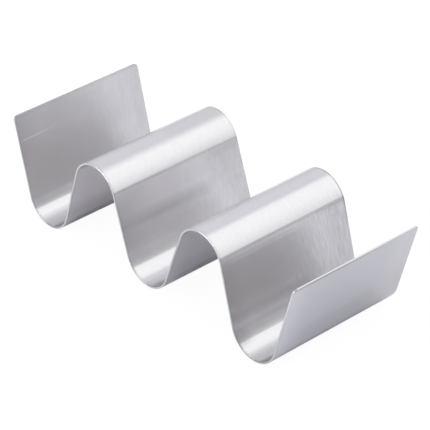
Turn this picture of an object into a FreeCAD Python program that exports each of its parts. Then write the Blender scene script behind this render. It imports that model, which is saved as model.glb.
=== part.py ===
import FreeCAD, Part

import collections
import enum
import math
import os

import Sketcher

# Taco holder: one strip of stainless sheet, rolled into three troughs with two humps between them.
# X runs along the wave, Y across the sheet, Z up. The origin is on the table, under the middle trough.
# The sheet is mirrored about the YZ plane, so only the right half of its section is drawn.
# Lengths are in millimetres, and the lean is in degrees from the vertical.
SIZES = [
    ("sheet_width", "76.0", "across the sheet, from front edge to back edge"),
    ("thickness", "0.9", "of the sheet"),
    ("bend_inside", "13.4", "radius on the inside of every bend"),
    ("trough_spacing", "71.0", "from the middle trough to an outer one"),
    ("hump_offset", "36.0", "from the middle trough to a hump"),
    ("hump_height", "50.3", "top of a hump above the table"),
    ("middle_lift", "2.7", "gap between the middle trough and the table"),
    ("plate_height", "49.9", "top of an end plate above the table"),
    ("plate_lean", "15.2", "of the end plates, outwards"),
    ("corner_radius", "2.0", "on the four corners of the strip"),
    ("edge_break", "0.15", "bevel left by deburring the cut edges"),
    ("bend_outside", "=bend_inside + thickness", "radius on the outside of every bend"),
    ("trough_centre", "=bend_outside", "height of an outer trough's bend centre"),
    ("middle_centre", "=middle_lift + bend_outside", "height of the middle trough's bend centre"),
    ("hump_centre", "=hump_height - bend_outside", "height of a hump's bend centre"),
]
SHARP = math.radians(30)  # faces that meet at more than this have a cut edge between them


class Axis(enum.IntEnum):
    """A sketch's own axes, as it numbers them."""
    X = -1
    Z = -2


class Point(enum.IntEnum):
    """The points of what is drawn in a sketch, as it numbers them."""
    START = 1
    END = 2
    CENTRE = 3


ORIGIN = (Axis.X, Point.START)

# One side of the half sheet, piece by piece from the mirror plane out to the top of the end plate
Side = collections.namedtuple("Side", "half_trough inner_wall hump outer_wall trough plate")

doc = FreeCAD.newDocument("taco_holder")

sheet = doc.addObject("Spreadsheet::Sheet", "sizes")
for row, (alias, value, note) in enumerate(SIZES, start=1):
    sheet.set(f"A{row}", alias)
    sheet.set(f"B{row}", value)
    sheet.set(f"C{row}", note)
    sheet.setAlias(f"B{row}", alias)
doc.recompute()


def origin_plane(body, role):
    """The body's own origin plane with this role."""
    return next(plane for plane in body.Origin.OriginFeatures if plane.Role == role)


def direction(angle):
    """Unit vector in the sketch, at this angle from its X axis."""
    return FreeCAD.Vector(math.cos(angle), math.sin(angle), 0)


def arc(centre, radius, start, end):
    """Part of a circle, anticlockwise from start to end."""
    circle = Part.Circle(centre, FreeCAD.Vector(0, 0, 1), radius)
    return Part.ArcOfCircle(circle, start, end)


def wall_lean(trough, hump, radii):
    """Lean of the straight wall between two bends that curve opposite ways, from their centres."""
    across = abs(hump.x - trough.x)
    rise = hump.y - trough.y
    return math.atan2(across, rise) - math.asin(radii / math.hypot(across, rise))


def tie(sketch, kind, *where):
    """Add a constraint that has no size."""
    sketch.addConstraint(Sketcher.Constraint(kind, *where))


def dimension(sketch, cell, kind, *where):
    """Add a dimension that is named after a cell of the sheet and reads it."""
    number = sketch.addConstraint(Sketcher.Constraint(kind, *where, sheet.getPropertyByName(cell)))
    sketch.renameConstraint(number, cell)
    sketch.setExpression(f"Constraints.{cell}", f"sizes.{cell}")


def draw_side(sketch, middle, hump, trough, trough_radius, hump_radius):
    """Draw one side of the half sheet round its three bend centres, each piece tangent to the next."""
    radii = trough_radius + hump_radius
    inner_lean = wall_lean(middle, hump, radii)
    outer_lean = wall_lean(trough, hump, radii)
    plate_lean = math.radians(sheet.plate_lean)

    inner_foot = middle + direction(-inner_lean) * trough_radius
    inner_head = hump + direction(math.pi - inner_lean) * hump_radius
    outer_head = hump + direction(outer_lean) * hump_radius
    outer_foot = trough + direction(math.pi + outer_lean) * trough_radius
    plate_foot = trough + direction(-plate_lean) * trough_radius
    plate_rise = sheet.plate_height - plate_foot.y
    plate_head = plate_foot + FreeCAD.Vector(math.tan(plate_lean), 1, 0) * plate_rise

    pieces = [
        arc(middle, trough_radius, -math.pi / 2, -inner_lean),
        Part.LineSegment(inner_foot, inner_head),
        arc(hump, hump_radius, outer_lean, math.pi - inner_lean),
        Part.LineSegment(outer_head, outer_foot),
        arc(trough, trough_radius, math.pi + outer_lean, 2 * math.pi - plate_lean),
        Part.LineSegment(plate_foot, plate_head),
    ]
    side = Side(*sketch.addGeometry(pieces, False))
    tie(sketch, "Tangent", side.half_trough, Point.END, side.inner_wall, Point.START)
    tie(sketch, "Tangent", side.inner_wall, Point.END, side.hump, Point.END)
    tie(sketch, "Tangent", side.hump, Point.START, side.outer_wall, Point.START)
    tie(sketch, "Tangent", side.outer_wall, Point.END, side.trough, Point.START)
    tie(sketch, "Tangent", side.trough, Point.END, side.plate, Point.START)
    return side


def draw_section(sketch):
    """Draw the right half of the sheet's section, closed and fully dimensioned."""
    middle = FreeCAD.Vector(0, sheet.middle_centre, 0)
    hump = FreeCAD.Vector(sheet.hump_offset, sheet.hump_centre, 0)
    trough = FreeCAD.Vector(sheet.trough_spacing, sheet.trough_centre, 0)
    upper = draw_side(sketch, middle, hump, trough, sheet.bend_inside, sheet.bend_outside)
    lower = draw_side(sketch, middle, hump, trough, sheet.bend_outside, sheet.bend_inside)

    # both sides turn round the same centres, with the inside radius on one and the outside on the other
    for upper_bend, lower_bend in zip(upper[::2], lower[::2]):
        tie(sketch, "Coincident", upper_bend, Point.CENTRE, lower_bend, Point.CENTRE)
    dimension(sketch, "bend_inside", "Radius", upper.half_trough)
    dimension(sketch, "bend_outside", "Radius", lower.half_trough)
    for same_radius in (lower.hump, upper.trough):
        tie(sketch, "Equal", upper.half_trough, same_radius)
    for same_radius in (upper.hump, lower.trough):
        tie(sketch, "Equal", lower.half_trough, same_radius)

    tie(sketch, "PointOnObject", upper.half_trough, Point.CENTRE, Axis.Z)
    dimension(sketch, "middle_centre", "DistanceY", *ORIGIN, upper.half_trough, Point.CENTRE)
    dimension(sketch, "hump_offset", "DistanceX", *ORIGIN, upper.hump, Point.CENTRE)
    dimension(sketch, "hump_centre", "DistanceY", *ORIGIN, upper.hump, Point.CENTRE)
    dimension(sketch, "trough_spacing", "DistanceX", *ORIGIN, upper.trough, Point.CENTRE)
    dimension(sketch, "trough_centre", "DistanceY", *ORIGIN, upper.trough, Point.CENTRE)

    # closed along the mirror plane
    seam_ends = [sketch.getPoint(bend, Point.START) for bend in (lower.half_trough, upper.half_trough)]
    seam = sketch.addGeometry(Part.LineSegment(*seam_ends), False)
    tie(sketch, "Coincident", lower.half_trough, Point.START, seam, Point.START)
    tie(sketch, "Coincident", upper.half_trough, Point.START, seam, Point.END)
    tie(sketch, "PointOnObject", seam, Point.START, Axis.Z)
    tie(sketch, "PointOnObject", seam, Point.END, Axis.Z)

    # the end plate's two sides are parallel, and it is cut square across its top
    top_ends = [sketch.getPoint(face, Point.END) for face in (lower.plate, upper.plate)]
    top = sketch.addGeometry(Part.LineSegment(*top_ends), False)
    tie(sketch, "Coincident", lower.plate, Point.END, top, Point.START)
    tie(sketch, "Coincident", upper.plate, Point.END, top, Point.END)
    tie(sketch, "Parallel", upper.plate, lower.plate)
    tie(sketch, "Perpendicular", upper.plate, top)
    dimension(sketch, "plate_height", "DistanceY", *ORIGIN, upper.plate, Point.END)
    lean = math.radians(sheet.plate_lean)
    leaning = Sketcher.Constraint("Angle", upper.plate, Point.START, Axis.Z, Point.START, lean)
    number = sketch.addConstraint(leaning)
    sketch.renameConstraint(number, "plate_lean")
    sketch.setExpression("Constraints.plate_lean", "sizes.plate_lean * 1 deg")


def edges_of(feature, chosen):
    """Names of the feature's edges that pass the test."""
    edges = enumerate(feature.Shape.Edges, start=1)
    return [f"Edge{number}" for number, edge in edges if chosen(feature.Shape, edge)]


def is_strip_corner(shape, edge):
    """A short edge through the sheet, at the top of an end plate."""
    slack = sheet.thickness / 100
    through = abs(edge.Length - sheet.thickness) < slack
    beyond_troughs = abs(edge.CenterOfMass.x) > sheet.trough_spacing
    on_cut_edge = abs(abs(edge.CenterOfMass.y) - sheet.sheet_width / 2) < slack
    return through and beyond_troughs and on_cut_edge


def is_cut_edge(shape, edge):
    """An edge where two faces meet at an angle, and not in a tangent."""
    middle = edge.valueAt((edge.FirstParameter + edge.LastParameter) / 2)
    faces = shape.ancestorsOfType(edge, Part.Face)
    first, second = [face.normalAt(*face.Surface.parameter(middle)) for face in faces]
    return first.getAngle(second) > SHARP


holder = doc.addObject("PartDesign::Body", "taco_holder")
holder.Label = "taco_holder"

section = holder.newObject("Sketcher::SketchObject", "section")
section.AttachmentSupport = [(origin_plane(holder, "XZ_Plane"), "")]
section.MapMode = "FlatFace"
draw_section(section)
doc.recompute()
if section.solve() != 0 or not section.FullyConstrained:
    raise RuntimeError("the sheet's section isn't fully dimensioned")

half_sheet = holder.newObject("PartDesign::Pad", "half_sheet")
half_sheet.Profile = section
half_sheet.SideType = "Symmetric"
half_sheet.setExpression("Length", "sizes.sheet_width")
doc.recompute()

whole_sheet = holder.newObject("PartDesign::Mirrored", "whole_sheet")
whole_sheet.Originals = [half_sheet]
whole_sheet.MirrorPlane = (origin_plane(holder, "YZ_Plane"), [""])
holder.Tip = whole_sheet
doc.recompute()

corners = holder.newObject("PartDesign::Fillet", "corners")
corners.Base = (whole_sheet, edges_of(whole_sheet, is_strip_corner))
corners.setExpression("Radius", "sizes.corner_radius")
doc.recompute()

deburring = holder.newObject("PartDesign::Chamfer", "deburring")
deburring.Base = (corners, edges_of(corners, is_cut_edge))
deburring.setExpression("Size", "sizes.edge_break")
holder.Tip = deburring
doc.recompute()

for item in doc.Objects:
    if "Invalid" in item.State or "Error" in item.State:
        raise RuntimeError(f"{item.Name} failed: {item.State}")
shape = holder.Shape
if shape.isNull() or not shape.isValid() or len(shape.Solids) != 1:
    raise RuntimeError("the holder isn't one valid solid")

os.makedirs("parts", exist_ok=True)
shape.exportStep(f"parts/{holder.Label}.step")
box = shape.BoundBox
print(f"{holder.Label}: {box.XLength:.2f} x {box.YLength:.2f} x {box.ZLength:.2f} mm")
print(f"volume {shape.Volume:.1f} mm3")
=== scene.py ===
import math

import bpy
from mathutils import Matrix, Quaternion, Vector


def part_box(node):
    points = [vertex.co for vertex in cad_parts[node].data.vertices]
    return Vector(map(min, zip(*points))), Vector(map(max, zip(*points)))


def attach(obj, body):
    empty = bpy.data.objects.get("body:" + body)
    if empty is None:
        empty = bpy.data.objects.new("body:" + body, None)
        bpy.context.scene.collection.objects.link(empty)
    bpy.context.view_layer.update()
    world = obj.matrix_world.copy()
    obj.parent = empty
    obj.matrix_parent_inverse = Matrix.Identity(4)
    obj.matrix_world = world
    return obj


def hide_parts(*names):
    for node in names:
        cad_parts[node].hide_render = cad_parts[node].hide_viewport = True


# A taco holder: one strip of brushed stainless sheet, rolled into three troughs and two humps.
# X runs along the wave, Y across the sheet, Z up, in metres.

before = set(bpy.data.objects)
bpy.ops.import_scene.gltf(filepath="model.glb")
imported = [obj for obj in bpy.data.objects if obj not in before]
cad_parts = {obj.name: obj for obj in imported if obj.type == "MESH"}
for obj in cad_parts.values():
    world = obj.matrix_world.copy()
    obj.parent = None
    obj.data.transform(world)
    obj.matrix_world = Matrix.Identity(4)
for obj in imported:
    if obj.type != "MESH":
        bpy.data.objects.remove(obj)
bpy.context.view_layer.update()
mm = 0.001
print("frame loaded:", sorted(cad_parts))


# Shader maths

class Signal:
    # a socket that can be added, multiplied and so on; each step adds a Math node
    def __init__(self, shader, socket):
        self.shader = shader
        self.socket = socket

    def combine(self, operation, first, second):
        return self.shader.add("ShaderNodeMath", {"operation": operation}, {0: first, 1: second})

    def __add__(self, other):
        return self.combine("ADD", self, other)

    def __radd__(self, other):
        return self.combine("ADD", other, self)

    def __sub__(self, other):
        return self.combine("SUBTRACT", self, other)

    def __rsub__(self, other):
        return self.combine("SUBTRACT", other, self)

    def __mul__(self, other):
        return self.combine("MULTIPLY", self, other)

    def __rmul__(self, other):
        return self.combine("MULTIPLY", other, self)

    def __abs__(self):
        return self.combine("ABSOLUTE", self, 0.0)


class Shader:
    # builds the nodes of one material or world
    def __init__(self, owner):
        owner.use_nodes = True
        self.tree = owner.node_tree
        self.tree.nodes.clear()

    def add(self, kind, settings=None, sockets=None, output=0):
        node = self.tree.nodes.new(kind)
        for name, value in (settings or {}).items():
            setattr(node, name, value)
        for key, value in (sockets or {}).items():
            if isinstance(value, Signal):
                self.tree.links.new(value.socket, node.inputs[key])
            else:
                node.inputs[key].default_value = value
        return Signal(self, node.outputs[output]) if node.outputs else None

    def part(self, vector, axis):
        return self.add("ShaderNodeSeparateXYZ", {}, {0: vector}, output=axis)

    def multiplied(self, first, second):
        # vectors or colours, part by part
        return self.add("ShaderNodeVectorMath", {"operation": "MULTIPLY"}, {0: first, 1: second})

    def scaled(self, vector, amount):
        return self.add("ShaderNodeVectorMath", {"operation": "SCALE"}, {0: vector, "Scale": amount})

    def noise(self, place, perMetre, detail=2):
        vector = self.multiplied(place, perMetre)
        return self.add("ShaderNodeTexNoise", {}, {"Vector": vector, "Scale": 1.0, "Detail": detail})

    def fade(self, value, low, high):
        # 0 at low, 1 at high, smooth between
        sockets = {"Value": value, "From Min": low, "From Max": high}
        return self.add("ShaderNodeMapRange", {"interpolation_type": "SMOOTHSTEP"}, sockets)

    def within(self, value, low, high, soft):
        # 1 between low and high, 0 outside; one fade on the distance from the middle keeps the
        # renderer's store of shader values small
        half = (high - low) / 2
        return 1 - self.fade(abs(value - (low + half)), half - soft, half + soft)

    def mix(self, factor, first, second):
        return self.add("ShaderNodeMix", {"data_type": "RGBA"}, {0: factor, 6: first, 7: second}, output=2)


# The sheet

sheet = {
    "thickness": 0.9 * mm,
    "bendRadius": 13.85 * mm,     # to the middle of the sheet, the same at every bend
    "troughSpacing": 71 * mm,     # middle trough to outer trough
    "humpOffset": 36 * mm,        # middle trough to hump
    "middleLift": 2.7 * mm,       # middle trough above the table
    "plateHeight": 49.9 * mm,     # inner edge of an end plate above the table
    "plateLean": math.radians(15.2),
    "cornerRadius": 2 * mm,
    "edgeRound": 0.15 * mm,       # left by deburring
    "bendStep": math.radians(3),
    "flatStep": 3 * mm,
    "acrossSteps": 24,
    "cornerSteps": 8,
    "edgeSteps": 3,
}


def wallLean(trough, hump):
    # lean from the vertical of the flat wall between two bends that turn opposite ways
    gap = hump - trough
    return math.atan2(abs(gap.x), gap.y) - math.asin(2 * sheet["bendRadius"] / gap.length)


def flatLength(trough, hump):
    return math.sqrt((hump - trough).length_squared - (2 * sheet["bendRadius"]) ** 2)


def rollOut():
    # the right half of the strip, as flat lengths and bends from the middle trough to the plate's top
    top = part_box("taco_holder")[1].z
    half, radius = sheet["thickness"] / 2, sheet["bendRadius"]
    middle = Vector((0, sheet["middleLift"] + half + radius))
    hump = Vector((sheet["humpOffset"], top - half - radius))
    trough = Vector((sheet["troughSpacing"], half + radius))
    innerLean, outerLean = wallLean(middle, hump), wallLean(trough, hump)
    upright = math.pi / 2
    plateFoot = trough.y - radius * math.sin(sheet["plateLean"])
    plateTop = sheet["plateHeight"] - half * math.sin(sheet["plateLean"])
    plateLength = (plateTop - plateFoot) / math.cos(sheet["plateLean"])
    return [
        ("bend", upright - innerLean),
        ("flat", flatLength(middle, hump)),
        ("bend", -(math.pi - innerLean - outerLean)),
        ("flat", flatLength(trough, hump)),
        ("bend", math.pi - outerLean - sheet["plateLean"]),
        ("flat", plateLength),
    ]


def followWave():
    # each stretch with where it starts: distance along the strip, point, heading and curvature
    distance, heading = 0.0, 0.0
    point = Vector((0, sheet["middleLift"] + sheet["thickness"] / 2))
    stretches = []
    for kind, amount in rollOut():
        length = amount if kind == "flat" else abs(amount) * sheet["bendRadius"]
        curve = 0.0 if kind == "flat" else math.copysign(1 / sheet["bendRadius"], amount)
        stretches.append({"start": distance, "length": length, "point": point, "heading": heading, "curve": curve})
        point, heading = alongStretch(stretches[-1], length)
        distance += length
    return stretches


def alongStretch(stretch, distance):
    point, heading, curve = stretch["point"], stretch["heading"], stretch["curve"]
    if curve == 0:
        return point + Vector((math.cos(heading), math.sin(heading))) * distance, heading
    turned = heading + curve * distance
    across = Vector((math.sin(turned) - math.sin(heading), math.cos(heading) - math.cos(turned)))
    return point + across / curve, turned


def waveAt(stretches, distance):
    # middle of the sheet and its heading at a signed distance from the middle trough
    reach = abs(distance)
    stretch = [item for item in stretches if item["start"] <= reach][-1]
    point, heading = alongStretch(stretch, reach - stretch["start"])
    if distance < 0:
        return Vector((-point.x, point.y)), -heading
    return point, heading


def columnPlaces(stretches):
    # distances from the middle trough out to where the strip's corners start
    places = [0.0]
    cornerStart = stretches[-1]["start"] + stretches[-1]["length"] - sheet["cornerRadius"]
    for stretch in stretches:
        step = sheet["flatStep"] if stretch["curve"] == 0 else sheet["bendStep"] * sheet["bendRadius"]
        end = min(stretch["start"] + stretch["length"], cornerStart)
        count = math.ceil((end - stretch["start"]) / step)
        places += [stretch["start"] + (end - stretch["start"]) * k / count for k in range(1, count + 1)]
    return places


def makeSheet():
    stretches = followWave()
    lowest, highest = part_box("taco_holder")
    halfLength = stretches[-1]["start"] + stretches[-1]["length"]
    halfWidth = (highest.y - lowest.y) / 2
    corner, edge, half = sheet["cornerRadius"], sheet["edgeRound"], sheet["thickness"] / 2
    quarter = math.pi / 2

    # one column per place along the strip; in the corners the turn goes from the long edge to the end
    columns = [(place, 0.0) for place in columnPlaces(stretches)]
    turns = [quarter * k / sheet["cornerSteps"] for k in range(1, sheet["cornerSteps"] + 1)]
    columns += [(halfLength - corner, turn) for turn in turns]
    columns = [(-place, -turn) for place, turn in reversed(columns[1:])] + columns
    rows = [(halfWidth - corner) * (2 * k / sheet["acrossSteps"] - 1) for k in range(sheet["acrossSteps"] + 1)]

    def outline(column, inset):
        # a column's end on the strip's outline, pulled in by inset
        place, turn = column
        return place + (corner - inset) * math.sin(turn), halfWidth - corner + (corner - inset) * math.cos(turn)

    points, normals, flatPlaces, cutEdges, faces, welded = [], [], [], [], [], {}

    def vertex(along, across, height, facing, onEdge):
        # bends a point of the flat strip onto the wave; facing is its normal on the flat strip
        key = (round(along / mm, 5), round(across / mm, 5), round(height / mm, 5))
        if key not in welded:
            middle, heading = waveAt(stretches, along)
            forward = Vector((math.cos(heading), 0, math.sin(heading)))
            upward = Vector((-math.sin(heading), 0, math.cos(heading)))
            points.append(Vector((middle.x, across, middle.y)) + upward * height)
            normals.append(forward * facing[0] + Vector((0, facing[1], 0)) + upward * facing[2])
            flatPlaces.append(Vector((along, across, height)))
            cutEdges.append(onEdge)
            welded[key] = len(points) - 1
        return welded[key]

    def face(corners, flipped):
        corners = list(dict.fromkeys(corners))
        if len(corners) > 2:
            faces.append(corners[::-1] if flipped else corners)

    # upper and lower face
    for side in (1, -1):
        grid = []
        for column in columns:
            along, reach = outline(column, edge)
            places = [-reach, *rows, reach]
            grid.append([vertex(along, across, side * half, (0, 0, side), 0.0) for across in places])
        for left, right in zip(grid, grid[1:]):
            for k in range(len(left) - 1):
                face([left[k], right[k], right[k + 1], left[k + 1]], side < 0)

    # the cut edge, rounded on both sides, all the way round the strip
    turns = [quarter * k / sheet["edgeSteps"] for k in range(sheet["edgeSteps"] + 1)]
    profile = [(edge * (1 - math.sin(turn)), half - edge * (1 - math.cos(turn)), turn) for turn in turns]
    profile += [(inset, -height, math.pi - turn) for inset, height, turn in reversed(profile)]
    loops = []
    for inset, height, turn in profile:
        outward, upward = math.sin(turn), math.cos(turn)
        onEdge = 1.0 if outward > 0.1 else 0.0
        loop = []
        for way, ordered in ((1, columns), (-1, columns[::-1])):
            for column in ordered:
                along, reach = outline(column, inset)
                facing = (math.sin(column[1]) * outward, way * math.cos(column[1]) * outward, upward)
                loop.append(vertex(along, way * reach, height, facing, onEdge))
            for across in rows[-2:0:-1] if way > 0 else rows[1:-1]:
                facing = (way * outward, 0, upward)
                loop.append(vertex(way * (halfLength - inset), across, height, facing, onEdge))
        loops.append(loop)
    for upper, lower in zip(loops, loops[1:]):
        for k in range(len(upper)):
            face([upper[k - 1], upper[k], lower[k], lower[k - 1]], False)

    mesh = bpy.data.meshes.new("rolledSheet")
    mesh.from_pydata(points, [], faces)
    mesh.normals_split_custom_set_from_vertices(normals)
    mesh.attributes.new("flatPlace", "FLOAT_VECTOR", "POINT").data.foreach_set(
        "vector", [value for place in flatPlaces for value in place])
    mesh.attributes.new("cutEdge", "FLOAT", "POINT").data.foreach_set("value", cutEdges)
    # the tangent turns round the middle of the texture space; from this far away it runs along Y
    mesh.use_auto_texspace = False
    mesh.texspace_location = (-100, 0, 0)
    mesh.texspace_size = (1, 1, 1)
    piece = bpy.data.objects.new("rolled_sheet", mesh)
    bpy.context.scene.collection.objects.link(piece)
    print(f"sheet rolled: {len(points)} points, {len(faces)} faces, strip {2 * halfLength / mm:.1f} mm long")
    return piece


# Brushed stainless steel

steel = {
    "dark": (0.577, 0.560, 0.564, 1),
    "light": (0.653, 0.634, 0.639, 1),
    "lowerDarker": 0.12,                # painted shade: the lower face darker, as it reflects the shaded floor
    "roughness": 0.255,
    "roughnessSpread": 0.04,            # with the cloud
    "anisotropy": 0.90,
    "hairline": (25, 2600, 400),        # how often the brushing changes per metre: along, across, through
    "streak": (330, 1700, 400),
    "streakEnds": (0.36, 0.64),         # the part of the noise that is spread over dark to light
    "cloud": (24, 30, 400),
    "toneShares": (0.2, 0.25, 0.3),     # of hairline, streak and cloud, from dark to light
    "toneStart": 0.125,
    "scuff": (150, 1700, 400),          # plainer streaks, stronger towards the far edge
    "scuffEnds": (0.38, 0.62),
    "scuffRise": (-20 * mm, 25 * mm),   # across the strip
    "cool": (0.987, 1.0, 1.037),        # painted reflection tint, where the reflections are made bluer
    "violet": (1.004, 0.987, 1.002),    # and where they are made more violet
    "hairlineDepth": 0.006 * mm,
    "streakDepth": 0.003 * mm,
    "faceChange": 0.1 * mm,             # from the lower face to the upper, either side of the sheet's middle
}

# the cut edge all round the strip, with painted shade and painted highlights in its colour
rim = {
    "top": (0.54, 0.53, 0.53, 1),
    "foot": (0.43, 0.42, 0.42, 1),
    "rise": (20 * mm, 44 * mm),         # painted shade, darker at the foot where the edge reflects the shaded floor: heights between which it goes from the foot's tone to the top's
    "roughness": 0.22,
    "farHump": (0.25, 0.25, 0.25, 1),   # painted shade on the far rim of the second hump
    "farHumpAlong": (56 * mm, 90 * mm, 4 * mm),
    "farSide": (37 * mm, 37.5 * mm),
    "end": (0.66, 0.65, 0.65, 1),       # painted highlight along the top of the right plate
    "endStart": (188 * mm, 188.6 * mm),
    "endInner": (-0.42 * mm, -0.15 * mm),   # its lighter part, through the sheet
    "corner": (0.15, 0.15, 0.15, 1),    # painted shade at the right plate's near corner
    "cornerFade": (-25 * mm, 12 * mm),  # from the corner's tone to the foot's, on the end's outer part
    "cornerAlong": (187.4 * mm, 188.05 * mm, 0.2 * mm),
    "cornerAcross": (-37.4 * mm, -37.1 * mm),
    "cornerEnd": (-36.7 * mm, -36.0 * mm, 0.2 * mm),
    "cornerEndShare": 0.75,
}

# painted shade and painted reflections on the steel: bands and patches made lighter or darker, in mm on the flat
# strip: low, high and softness along it and across it, which face it is on (1 is the upper, -1 the lower), and how
# much darker it is there
paintedReflections = {
    "leftPlateNear": ((-200, -166, 8), (-60, -31, 9), 1, 0.14),
    "leftPlateMiddle": ((-200, -172, 8), (-8, 22, 8), 1, -0.05),
    "leftPlateFar": ((-165, -148, 4), (14, 30, 5), 1, -0.07),
    "leftPlateRim": ((-200, -158, 6), (31, 60, 3), 1, 0.05),
    "leftEndInside": ((-188.5, -187.7, 0.3), (-40, 40, 1), 1, 0.10),
    "firstPlateFoot": ((-150.2, -147.3, 0.8), (-40, -8, 3), 1, 0.07),
    "firstTroughStart": ((-147.0, -144.0, 0.8), (-40, -8, 3), 1, -0.04),
    "firstTroughNear": ((-146.5, -140.5, 0.8), (-40, -31, 2.5), 1, 0.04),
    "firstTroughFar": ((-146.5, -140.0, 0.8), (-18, 40, 6), 1, -0.04),
    "firstTroughLow": ((-136.9, -133.5, 0.8), (-40, 40, 1), 1, 0.12),
    "firstTroughBottom": ((-133.5, -120, 0.8), (-40, 40, 1), 1, 0.10),
    "firstTroughCorner": ((-127.0, -118, 1), (-40, -31, 2.5), 1, 0.18),
    "firstHumpTop": ((-67, -59, 2), (6, 60, 6), 1, 0.045),
    "firstHumpBack": ((-75, -68.8, 1), (3, 40, 3), 1, -0.14),
    "firstHumpStart": ((-59.7, -57.6, 0.6), (-40, 40, 1), 1, 0.05),
    "firstBendLine": ((-47.5, -46.9, 0.3), (-40, 40, 1), 1, 0.05),
    "firstBendNear": ((-48.2, -47.0, 0.25), (-40, -10, 8), 1, 0.09),
    "firstBendGlow": ((-46.9, -45.6, 0.3), (-40, -8, 6), 1, -0.045),
    "firstBendFar": ((-48.6, -47.2, 0.3), (26, 40, 4), 1, -0.035),
    "firstWallFarTop": ((-47.2, -43.0, 1), (18, 60, 4), 1, 0.06),
    "wallTwoTop": ((-46.5, -34.5, 1.5), (-22, 18, 10), 1, -0.15),
    "wallTwoBright": ((-37, -32, 1.2), (-2, 24, 4), 1, -0.06),
    "wallTwoGlint": ((-32.5, -30.2, 0.8), (24, 40, 3), 1, -0.03),
    "wallTwoLine": ((-34.4, -32.0, 0.8), (-40, -20, 5), 1, 0.04),
    "wallTwoDusk": ((-32.3, -27.8, 1.0), (3, 17, 4), 1, 0.075),
    "wallTwoDim": ((-39, -23, 3), (-30, -13, 4), 1, 0.035),
    "wallTwoLow": ((-27, -13, 3), (-24, 0, 5), 1, -0.05),
    "wallTwoFar": ((-32, -15, 3), (2, 26, 8), 1, -0.15),
    "wallTwoFoot": ((-21, -13, 3), (-29, 30, 5), 1, -0.07),
    "wallTwoNear": ((-42, -20, 4), (-60, -31, 7), 1, 0.14),
    "wallTwoShade": ((-31.8, -28.8, 1.6), (-40, 4, 12), 1, 0.12),
    "secondTroughLow": ((-0.2, 3.6, 0.8), (-40, 40, 1), 1, 0.07),
    "secondTroughCorner": ((2.8, 12, 1.5), (-40, -30, 2.5), 1, 0.25),
    "secondHumpStart": ((66.8, 69.0, 0.6), (-40, 40, 1), 1, -0.07),
    "secondBendLine": ((79.0, 79.7, 0.3), (-40, 40, 1), 1, 0.17),
    "secondBendGlow": ((80.2, 81.4, 0.3), (-36, 28, 6), 1, -0.07),
    "secondWallFarTop": ((79.3, 82.8, 0.6), (20, 60, 4), 1, 0.10),
    "wallFourTop": ((80.2, 83.6, 0.5), (-30, 8, 8), 1, -0.16),
    "wallFourMiddle": ((95, 107, 4), (-10, 20, 8), 1, -0.05),
    "wallFourFar": ((82, 113, 4), (26, 40, 6), 1, 0.14),
    "wallFourFoot": ((106.6, 112.6, 2.2), (-40, 10, 5), 1, 0.14),
    "wallFourNear": ((84, 123, 2), (-60, -32, 7), 1, 0.12),
    "thirdTroughStart": ((114.6, 121.5, 1.5), (-32, 0, 4), 1, -0.14),
    "thirdTroughRise": ((115.5, 119.5, 1), (-18, 40, 5), 1, -0.04),
    "thirdTroughLine": ((120.0, 122.2, 0.7), (-40, 40, 1), 1, 0.06),
    "thirdTroughGlow": ((126.0, 128.4, 0.8), (-40, 40, 1), 1, -0.05),
    "thirdTroughLow": ((132.4, 139.5, 1), (-40, 40, 1), 1, 0.07),
    "thirdTroughCorner": ((134.5, 146, 1.5), (-40, -31, 2.5), 1, 0.18),
    "rightPlateInside": ((150, 189, 3), (-40, 40, 1), 1, 0.12),
    "rightPlateFoot": ((145.5, 158, 2), (-24, 20, 5), -1, 0.06),
    "rightPlateNear": ((152, 200, 4), (-60, -31, 7), -1, -0.10),
    "rightPlateFar": ((164, 200, 8), (24, 60, 6), -1, -0.06),
    "rightEndOutside": ((187.6, 188.5, 0.3), (-40, 10, 20), -1, 0.25),
    "underFirstHump": ((-105, -60, 5), (-40, 40, 1), -1, -0.18),
    "underSecondHump": ((27, 70, 4), (-40, 40, 1), -1, -0.10),
    "underHumpsDeep": ((-120, 60, 1), (-24, 10, 6), -1, -0.09),
    "footOne": ((-117.0, -113.8, 0.6), (-40, 40, 1), -1, 0.14),
    "footTwo": ((14.0, 18.0, 0.6), (-40, 40, 1), -1, 0.12),
    "footThree": ((143.5, 146.2, 0.5), (-40, 22, 5), -1, 0.24),
    "nearEdgeAbove": ((-190, 190, 1), (-37.9, -37.2, 0.15), 1, 0.12),
    "nearEdgeBelow": ((-190, 190, 1), (-37.9, -37.2, 0.15), -1, 0.15),
    "firstHumpRim": ((-70, -46, 4), (37.3, 40, 0.2), 1, 0.15),
    "secondHumpRim": ((56, 90, 4), (37.2, 40, 0.2), 1, 0.35),
}

# painted reflection tint: where the reflections are made bluer, set out as the painted reflections above; the last
# number is how much of the tint
paintedCoolReflection = {
    "firstTrough": ((-136, -118, 3), (-40, 40, 1), 1, 0.6),
    "secondTrough": ((-5, 12, 3), (-40, 40, 1), 1, 0.6),
    "thirdTrough": ((128, 146, 3), (-40, 40, 1), 1, 0.8),
    "rightPlate": ((140, 186, 4), (-60, 24, 8), -1, 0.9),
    "underSecondHump": ((14, 56, 4), (-40, 40, 1), -1, 0.35),
}
# painted reflection tint: where the reflections on the hump tops are made more violet
paintedVioletReflection = {
    "firstHump": ((-67.5, -59, 1), (-40, 40, 1), 1, 1.0),
    "secondHump": ((58.5, 67.5, 1), (-40, 40, 1), 1, 1.0),
}

# streaks along the strip, in mm: low, high and softness along it, and how much they darken or lighten
scuffs = {
    "leftPlate": (-200, -150, 3, 0.045),
    "everywhere": (-200, 200, 1, 0.02),
    "wallTwo": (-45, -14, 2, 0.07),
    "wallFour": (81, 123, 2, 0.13),
}

# painted light and shade on the cut edge, in mm: low, high and softness along the strip, and how much lighter it
# is
paintedEdgeLight = {
    "leftPlate": (-200, -165, 6, -0.35),
    "firstRise": (-122, -98, 3, 0.28),
    "secondRise": (4, 28, 4, 0.30),
    "thirdTrough": (116, 132, 3, -0.22),
    "rightPlate": (144, 186, 3, 0.20),
}

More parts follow.
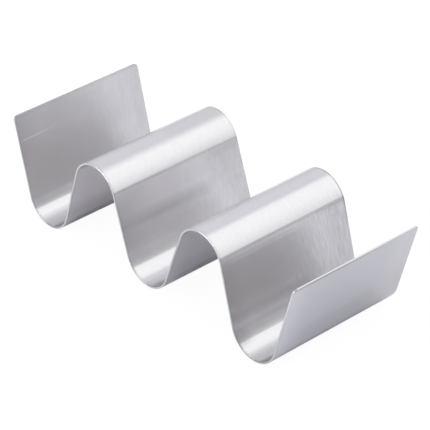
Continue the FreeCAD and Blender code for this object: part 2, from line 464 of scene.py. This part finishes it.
scratch = {
    "start": (-175.92 * mm, -36.0 * mm),
    "end": (-176.6 * mm, -15.0 * mm),
    "halfWidth": 0.18 * mm,
    "lighter": 0.34,
    "nearEnd": (-0.02, 0.02),   # where it starts and dies away, as shares of its length
    "dying": (0.3, 1.25),
}


def inMm(values):
    return [value * mm for value in values]


def summedPaintedSpots(shader, flat, spots):
    # how much painted shade, reflection or tint the spots ask for at each point of the sheet
    amount = 0
    for alongRange, acrossRange, side, strength in spots.values():
        spot = shader.within(flat["along"], *inMm(alongRange)) * shader.within(flat["across"], *inMm(acrossRange))
        amount = spot * (flat["upper"] if side > 0 else flat["lower"]) * strength + amount
    return amount


def summedStretches(shader, flat, stretches):
    amount = 0
    for low, high, soft, strength in stretches.values():
        amount = shader.within(flat["along"], *inMm((low, high, soft))) * strength + amount
    return amount


def scratchLine(shader, flat):
    # the scratch on the left plate, brightest at its near end
    start, end = Vector(scratch["start"]), Vector(scratch["end"])
    run = end - start
    along, across, halfWidth = flat["along"] - start.x, flat["across"] - start.y, scratch["halfWidth"]
    aside = (across * run.x - along * run.y) * (1 / run.length)
    reached = (along * run.x + across * run.y) * (1 / run.length_squared)
    line = shader.within(aside, -halfWidth, halfWidth, halfWidth)
    return line * shader.fade(reached, *scratch["nearEnd"]) * (1 - shader.fade(reached, *scratch["dying"]))


def faceColour(shader, flat, brushing):
    hairline, streak, cloud = brushing
    scuff = shader.fade(shader.noise(flat["place"], steel["scuff"]), *steel["scuffEnds"]) - 0.5
    scuff = scuff * shader.fade(flat["across"], *steel["scuffRise"]) * summedStretches(shader, flat, scuffs)
    # painted shade on the lower face and painted reflections and shade from the bands and patches, with the scuff
    # streaks
    shade = flat["lower"] * steel["lowerDarker"] + summedPaintedSpots(shader, flat, paintedReflections) + scuff
    shade = shade - scratchLine(shader, flat) * flat["upper"] * scratch["lighter"]
    ofHairline, ofStreak, ofCloud = steel["toneShares"]
    tone = hairline * ofHairline + streak * ofStreak + cloud * ofCloud + steel["toneStart"]
    colour = shader.scaled(shader.mix(tone, steel["dark"], steel["light"]), 1 - shade)
    # painted reflection tints: bluer and more violet where the reflections are made so
    for tint, spots in (("cool", paintedCoolReflection), ("violet", paintedVioletReflection)):
        colour = shader.mix(summedPaintedSpots(shader, flat, spots), colour, shader.multiplied(colour, steel[tint]))
    return colour


def rimColour(shader, flat):
    along, across = flat["along"], flat["across"]
    # painted shade: the edge darker towards its foot, where it reflects the shaded floor
    height = shader.part(shader.add("ShaderNodeTexCoord", output="Object"), "Z")
    colour = shader.mix(shader.fade(height, *rim["rise"]), rim["foot"], rim["top"])
    # painted shade on the far rim of the second hump
    farHump = shader.fade(across, *rim["farSide"]) * shader.within(along, *rim["farHumpAlong"])
    colour = shader.mix(farHump, colour, rim["farHump"])

    # painted highlight on the right plate's end, lighter on its inner part, and painted shade at its near corner
    atEnd = shader.fade(along, *rim["endStart"])
    outer = shader.mix(shader.fade(across, *rim["cornerFade"]), rim["corner"], rim["foot"])
    end = shader.mix(shader.fade(flat["level"], *rim["endInner"]), outer, rim["end"])
    colour = shader.mix(atEnd, colour, end)
    turn = shader.within(along, *rim["cornerAlong"]) * (1 - shader.fade(across, *rim["cornerAcross"]))
    corner = turn + atEnd * shader.within(across, *rim["cornerEnd"]) * rim["cornerEndShare"]
    colour = shader.mix(corner, colour, rim["corner"])
    # painted light and shade along the edge, by stretches of the strip
    return shader.scaled(colour, 1 + summedStretches(shader, flat, paintedEdgeLight))


def makeSteel():
    material = bpy.data.materials.new("brushedStainless")
    shader = Shader(material)
    flat = {"place": shader.add("ShaderNodeAttribute", {"attribute_name": "flatPlace"}, output="Vector")}
    for name, axis in (("along", "X"), ("across", "Y"), ("level", "Z")):
        flat[name] = shader.part(flat["place"], axis)
    flat["upper"] = shader.fade(flat["level"], -steel["faceChange"], steel["faceChange"])
    flat["lower"] = 1 - flat["upper"]

    hairline = shader.noise(flat["place"], steel["hairline"])
    streak = shader.fade(shader.noise(flat["place"], steel["streak"]), *steel["streakEnds"])
    cloud = shader.noise(flat["place"], steel["cloud"])
    onEdge = shader.add("ShaderNodeAttribute", {"attribute_name": "cutEdge"}, output="Fac")
    face = faceColour(shader, flat, (hairline, streak, cloud))
    roughness = steel["roughness"] + (cloud - 0.5) * steel["roughnessSpread"]
    grooves = hairline * steel["hairlineDepth"] + streak * steel["streakDepth"]
    surface = shader.add("ShaderNodeBsdfPrincipled", {}, {
        "Base Color": shader.mix(onEdge, face, rimColour(shader, flat)),
        "Metallic": 1.0,
        "Roughness": roughness + onEdge * (rim["roughness"] - steel["roughness"]),
        "Anisotropic": steel["anisotropy"],
        "Normal": shader.add("ShaderNodeBump", {}, {"Strength": 1.0, "Distance": 1.0, "Height": grooves}),
    })
    shader.add("ShaderNodeOutputMaterial", {}, {"Surface": surface})
    print("steel ready")
    return material


# Floor, world and lamps

stage = {
    "floorSize": 3.0,
    "floorColour": (0.96, 0.95, 0.967, 1),
    "floorGlow": 1.02,                  # the camera sees mostly this, so the shadow stays faint
    "floorGlowShare": 0.93,
    "background": (1, 1, 1, 1),
    "horizon": (0.75, 0.78, 0.82, 1),
    "ceiling": (1.04, 1.08, 1.14, 1),
    "ceilingHeight": (0.0, 0.3),        # these are parts of a direction: X is sideways, Y depth, Z height
    "bright": (1.58, 1.62, 1.64, 1),    # the large soft light behind, on the +X side
    "brightFoot": (1.22, 1.26, 1.29, 1),
    "brightSide": (-0.35, -0.03),       # where it fades in, by X
    "brightDepth": (0.02, 0.4),         # and by Y
    "brightHeight": (0.12, 0.74),       # where it goes from its foot's tone to the full one, by Z
    "front": (0.72, 0.75, 0.80, 1),     # the side the camera is on
    "frontDepth": (-0.5, 0.2),
    "strip": (0.65, 0.68, 0.71, 1),     # a darker strip along the horizon on the +X side
    "stripHeight": (-0.1, -0.05, 0.06, 0.13),
    "stripSide": (0.3, 0.6),
}

frontCard = {
    "place": (-0.27, -0.80, 0.26),      # low in front, so that it reaches under the humps
    "aim": (-0.03, 0.0, 0.01),
    "size": (0.57, 0.38),
    "brightness": 8.6,                  # where 1 is the white of the room
    "tint": (0.99, 1.0, 1.07),
}


def makeStage():
    world = bpy.data.worlds.new("studio")
    bpy.context.scene.world = world
    shader = Shader(world)
    direction = shader.add("ShaderNodeTexCoord", output="Generated")
    sideways, depth, height = [shader.part(direction, axis) for axis in "XYZ"]
    room = shader.mix(shader.fade(height, *stage["ceilingHeight"]), stage["horizon"], stage["ceiling"])
    lit = shader.fade(sideways, *stage["brightSide"]) * shader.fade(depth, *stage["brightDepth"])
    bright = shader.mix(shader.fade(height, *stage["brightHeight"]), stage["brightFoot"], stage["bright"])
    room = shader.mix(lit, room, bright)
    room = shader.mix(shader.fade(depth, *stage["frontDepth"]), stage["front"], room)
    bottom, low, high, top = stage["stripHeight"]
    strip = shader.fade(height, bottom, low) * (1 - shader.fade(height, high, top))
    strip = strip * shader.fade(sideways, *stage["stripSide"])
    room = shader.mix(strip, room, stage["strip"])
    seen = shader.add("ShaderNodeLightPath", output="Is Camera Ray")
    colour = shader.mix(seen, room, stage["background"])
    background = shader.add("ShaderNodeBackground", {}, {"Color": colour, "Strength": 1.0})
    shader.add("ShaderNodeOutputWorld", {}, {"Surface": background})

    half = stage["floorSize"] / 2
    mesh = bpy.data.meshes.new("floor")
    mesh.from_pydata([(-half, -half, 0), (half, -half, 0), (half, half, 0), (-half, half, 0)], [], [(0, 1, 2, 3)])
    floor = bpy.data.objects.new("floor", mesh)
    bpy.context.scene.collection.objects.link(floor)
    material = bpy.data.materials.new("paleFloor")
    shader = Shader(material)
    seen = shader.add("ShaderNodeLightPath", output="Is Camera Ray")
    matt = shader.add("ShaderNodeBsdfDiffuse", {}, {"Color": stage["floorColour"]})
    glow = shader.add("ShaderNodeEmission", {}, {"Strength": stage["floorGlow"]})
    share = seen * stage["floorGlowShare"]
    both = shader.add("ShaderNodeMixShader", {}, {0: share, 1: matt, 2: glow})
    shader.add("ShaderNodeOutputMaterial", {}, {"Surface": both})
    floor.data.materials.append(material)

    data = bpy.data.lights.new("frontCard", "AREA")
    data.shape = "RECTANGLE"
    data.size, data.size_y = frontCard["size"]
    data.energy = frontCard["brightness"] * math.pi * data.size * data.size_y
    data.color = frontCard["tint"]
    lamp = bpy.data.objects.new("frontCard", data)
    lamp.location = frontCard["place"]
    toLamp = lamp.location - Vector(frontCard["aim"])
    lamp.rotation_euler = toLamp.to_track_quat("Z", "Y").to_euler()
    lamp.visible_camera = False
    bpy.context.scene.collection.objects.link(lamp)
    print("stage ready")


# Camera

view = {
    "azimuth": math.radians(47.57),
    "elevation": math.radians(33.58),
    "roll": math.radians(0.43),
    "distance": 1.117,
    "target": (0.00300, 0.00106, 0.02568),
    "lens": 203.5,
    "sensor": 36,
    "nearest": 0.05,
}


def makeCamera():
    azimuth, elevation = view["azimuth"], view["elevation"]
    back = Vector((math.sin(azimuth) * math.cos(elevation), -math.cos(azimuth) * math.cos(elevation),
                   math.sin(elevation)))
    data = bpy.data.cameras.new("camera")
    data.lens = view["lens"]
    data.sensor_width = view["sensor"]
    data.clip_start = view["nearest"]
    camera = bpy.data.objects.new("camera", data)
    camera.rotation_mode = "QUATERNION"
    camera.rotation_quaternion = (-back).to_track_quat("-Z", "Y") @ Quaternion((0, 0, 1), view["roll"])
    camera.location = Vector(view["target"]) + back * view["distance"]
    bpy.context.scene.collection.objects.link(camera)
    bpy.context.scene.camera = camera
    print("camera ready")


makeCamera()
holder = makeSheet()
holder.data.materials.append(makeSteel())
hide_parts("taco_holder")
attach(holder, "root")
makeStage()
bpy.context.scene.view_settings.view_transform = "Standard"
